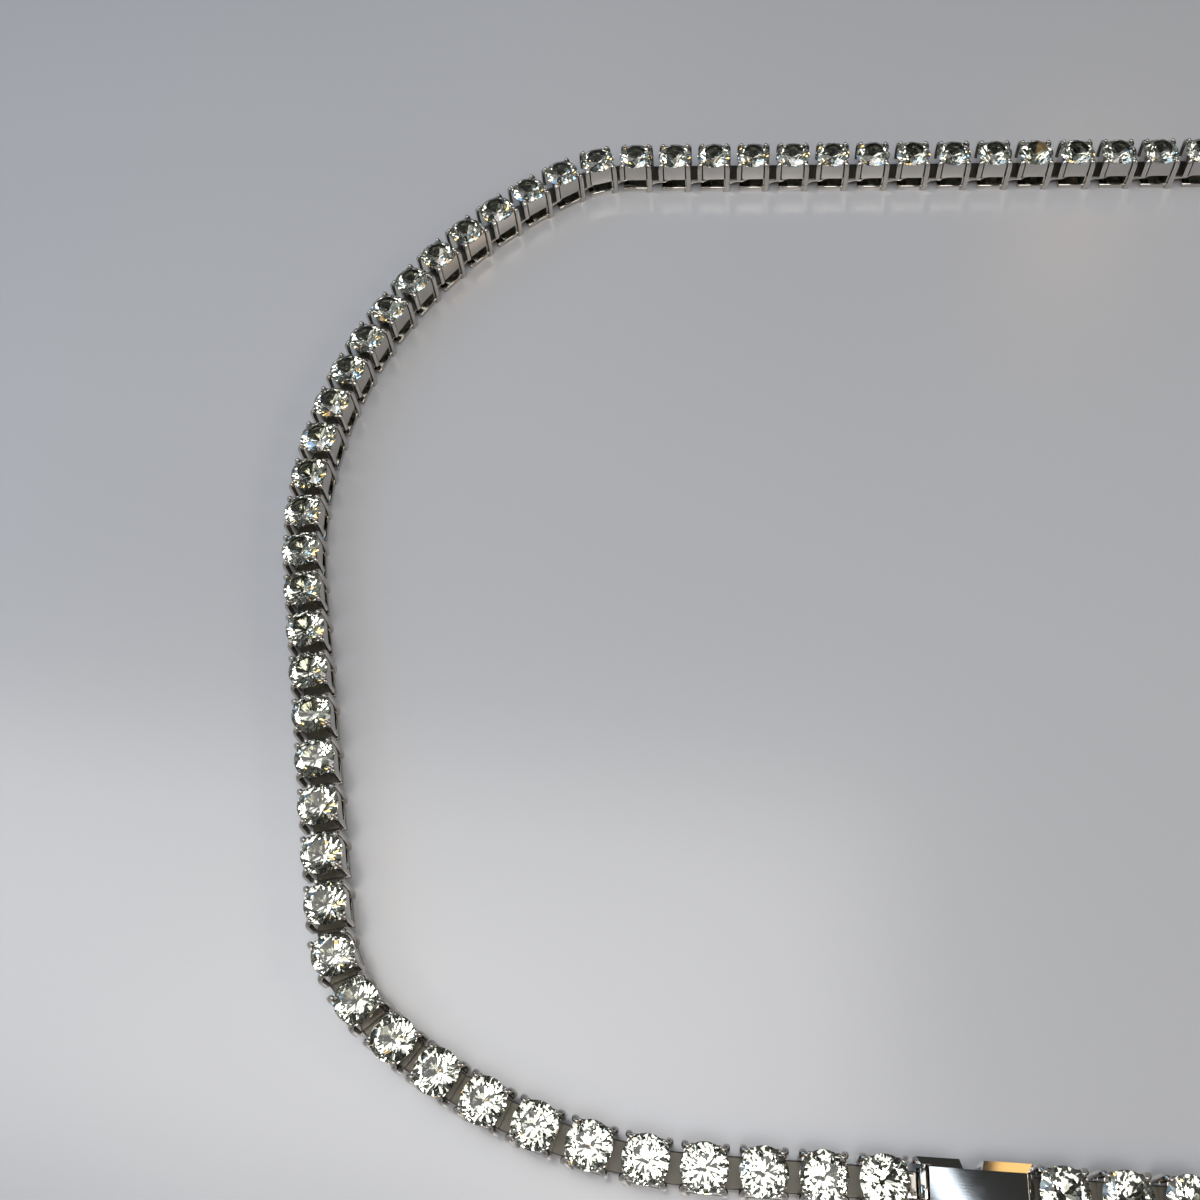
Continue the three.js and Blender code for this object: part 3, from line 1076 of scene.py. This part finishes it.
for name, mesh, body, node, material, smooth_below in (
    ("fold_over_lever", lever(), "lever", "clasp_lever", buffed_metal, ROUND_LEVER),
    ("clasp_tray", tray(), "row", "clasp_base", cast_metal, ROUND_CASTING),
    ("hinge_pin", hinge_pin(), "row", "clasp_pin", cast_metal, ROUND_CASTING),
):
    piece = lay(name, [(mesh, CLASP_PLACE)], material, smooth_below)
    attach(piece, body)
    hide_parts(node)

# %% [markdown]
# ## The table
#
# The table is pale and polished enough to mirror what hangs over it, softly. Its surface is an
# ordinary gloss over a diffuse colour, and the high IOR makes the gloss strong. It is a round slab,
# so that its edge lies level in every view.

# %% The table
TABLE_SHADE, TABLE_TINT = (0.515, 0.533, 0.58), (0.55, 0.57, 0.612)
TABLE_SHEEN, GRAIN_DULL = 0.20, 0.06  # roughness, and what is added to it
SLAB_RADIUS = 0.7
SLAB_SIDES = 96


def table_top():
    finish = Finish("table_top")
    patch = finish.cloud(size=90.0, detail=2.0)
    grain = finish.cloud(size=0.8, detail=3.0)
    return finish.surface(
        Base_Color=finish.blend(patch, TABLE_SHADE, TABLE_TINT),
        Roughness=TABLE_SHEEN + grain * GRAIN_DULL,
        IOR=1.9,
        Normal=finish.dents(grain, depth=0.004),
    )


slab = bmesh.new()
bmesh.ops.create_circle(slab, cap_ends=True, segments=SLAB_SIDES, radius=SLAB_RADIUS)
table = thing("table", slab)
table.data.materials.append(table_top())
print("table:", SLAB_RADIUS, "m in radius")

# %% [markdown]
# ## The light
#
# Polished metal and cut stones have no look of their own: they show what is around them. A white
# tent would make them flat and grey. Here each lamp has one job, and the room between them is dim,
# so that each facet and flat is either bright or dark.
#
# - The key stands in front and above, and lights the near stones.
# - The ceiling panel is wide and soft. The table mirrors it, and that is the paler part of the table.
# - The side lamp stands on the right, and lights the walls that look that way.
# - The clasp patch is a thin strip, placed where the top of the lever mirrors it.
# - Five thin tubes at different angles give the stones separate glints.
# - The window at the far left is blue, and cools that side of the table.
# - The amber spark is placed where a bevel of the lever mirrors it. The other amber lamps and the
#   small blue one are there for the stones, which throw them about as coloured flashes.


# %% The lamps
def lamp(name, spot, aim, size, watts, colour, turn=0):
    """An area lamp at a spot, turned to face a point, with sides in millimetres."""
    data = bpy.data.lights.new(name, "AREA")
    data.shape = "RECTANGLE"
    data.size, data.size_y = (side * MM for side in size)
    data.energy = watts
    data.color = colour
    made = bpy.data.objects.new(name, data)
    spot, aim = Vector(spot) * MM, Vector(aim) * MM
    towards = (aim - spot).to_track_quat("-Z", "Y").to_matrix().to_4x4()
    made.matrix_world = Matrix.Translation(spot) @ towards @ Matrix.Rotation(math.radians(turn), 4, "Z")
    bpy.context.scene.collection.objects.link(made)


def hanging(name, over, size, watts, colour, turn):
    """A lamp on the ceiling over a point of the table, that looks straight down."""
    lamp(name, (*over, CEILING), (*over, 0), size, watts, colour, turn)


WHITE, WARM, COOL = (1.0, 0.98, 0.95), (1.0, 0.95, 0.90), (0.80, 0.90, 1.0)
AMBER, BLUE = (1.0, 0.60, 0.20), (0.36, 0.64, 1.0)
CEILING = 400
TUBES_OVER = ((-20, -110), (-85, -25), (-150, -90), (-200, 0), (-60, -230))
TUBE_SIZE, TUBE_WATTS = (9, 150), 0.030
TUBE_TURN, TURN_BETWEEN_TUBES = 25, 30

lamp("key", spot=(20, -140, 300), aim=(-20, 0, 0), size=(150, 100), watts=0.32, colour=WARM)
hanging("ceiling_panel", over=(-285, 52), size=(650, 176), watts=0.75, colour=WHITE, turn=-4)
lamp("side_lamp", spot=(260, -60, 230), aim=(-20, 0, 0), size=(120, 90), watts=0.14, colour=WHITE)
hanging("clasp_patch", over=(57, -23), size=(9, 60), watts=0.004, colour=COOL, turn=32)
for number, over in enumerate(TUBES_OVER):
    turn = TUBE_TURN + TURN_BETWEEN_TUBES * number
    hanging(f"tube_{number}", over, TUBE_SIZE, TUBE_WATTS, WHITE, turn)
lamp("far_window", spot=(-480, 180, 250), aim=(-20, 40, 0), size=(260, 160), watts=0.34, colour=BLUE)
lamp("amber_spark", spot=(101, 295, 255), aim=(0, -57, 0), size=(38, 40), watts=0.007, colour=AMBER)
lamp("amber_left", spot=(-220, -230, 270), aim=(-40, -40, 0), size=(80, 50), watts=0.08, colour=AMBER)
lamp("amber_right", spot=(330, 0, 330), aim=(-40, -20, 0), size=(80, 50), watts=0.08, colour=AMBER)
lamp("blue_left", spot=(-300, -90, 240), aim=(-40, -20, 0), size=(60, 40), watts=0.07, colour=BLUE)
print("lamps:", len(bpy.data.lights))

# %% [markdown]
# The room itself is a noise of dark and pale patches, because a stone that mirrors an even grey
# looks like plastic. It is dimmer on the far side and straight overhead, and low down it turns into
# one plain pale backdrop. A smooth Map Range fades each of these in.

# %% The room
FAR_SIDE, OVERHEAD = 0.30, 0.40  # how strong the walls still are there
TO_FAR_SIDE, TO_OVERHEAD, OFF_HORIZON = (-0.2, 0.3), (0.84, 0.95), (0.10, 0.35)
PALE = (0.40, 0.41, 0.43)
WALL_SHADES = ((0.40, (0.05, 0.052, 0.045)), (0.54, (0.16, 0.165, 0.15)), (0.68, (0.60, 0.62, 0.60)))
PATCHES_ACROSS, PATCH_DETAIL = 2.3, 2.0


def room():
    world = bpy.data.worlds.new("room")
    nodes = Nodes(world)
    where = nodes.node("ShaderNodeTexCoord", output="Generated")
    pattern = {"Vector": where, "Scale": PATCHES_ACROSS, "Detail": PATCH_DETAIL}
    patches = nodes.node("ShaderNodeTexNoise", None, pattern)
    walls = nodes.node("ShaderNodeValToRGB", None, {"Fac": patches}, stops=WALL_SHADES)
    height = nodes.node("ShaderNodeSeparateXYZ", None, {"Vector": where}, output="Z")
    depth = nodes.node("ShaderNodeSeparateXYZ", None, {"Vector": where}, output="Y")

    def fade(reading, between, least):
        """From 1 to the least value, as a reading goes from one end to the other."""
        start, end = between
        ends = {"Value": reading, "From Min": start, "From Max": end, "To Min": 1.0, "To Max": least}
        return nodes.node("ShaderNodeMapRange", {"interpolation_type": "SMOOTHSTEP"}, ends)

    strength = fade(depth, TO_FAR_SIDE, FAR_SIDE) * fade(height, TO_OVERHEAD, OVERHEAD)
    backdrop = fade(height, OFF_HORIZON, 0.0)
    inputs = {
        "Color": nodes.blend(backdrop, walls, PALE),
        "Strength": backdrop + (1 - backdrop) * strength,
    }
    light = nodes.node("ShaderNodeBackground", None, inputs)
    nodes.node("ShaderNodeOutputWorld", None, {"Surface": light})
    return world


bpy.context.scene.world = room()
print("room:", len(bpy.context.scene.world.node_tree.nodes), "nodes")

# %% [markdown]
# A stone sends light through eight or ten facets before it leaves, so the paths may be longer than
# Blender's usual ones. The Standard view keeps the lamps' own colours and contrast.

# %% Light paths
ALL_BOUNCES, GLASS_BOUNCES, MIRROR_BOUNCES = 16, 14, 8

bpy.context.scene.view_settings.view_transform = "Standard"
cycles = bpy.context.scene.cycles
cycles.max_bounces = ALL_BOUNCES
cycles.transmission_bounces = GLASS_BOUNCES
cycles.glossy_bounces = MIRROR_BOUNCES
print("bounces:", cycles.max_bounces)
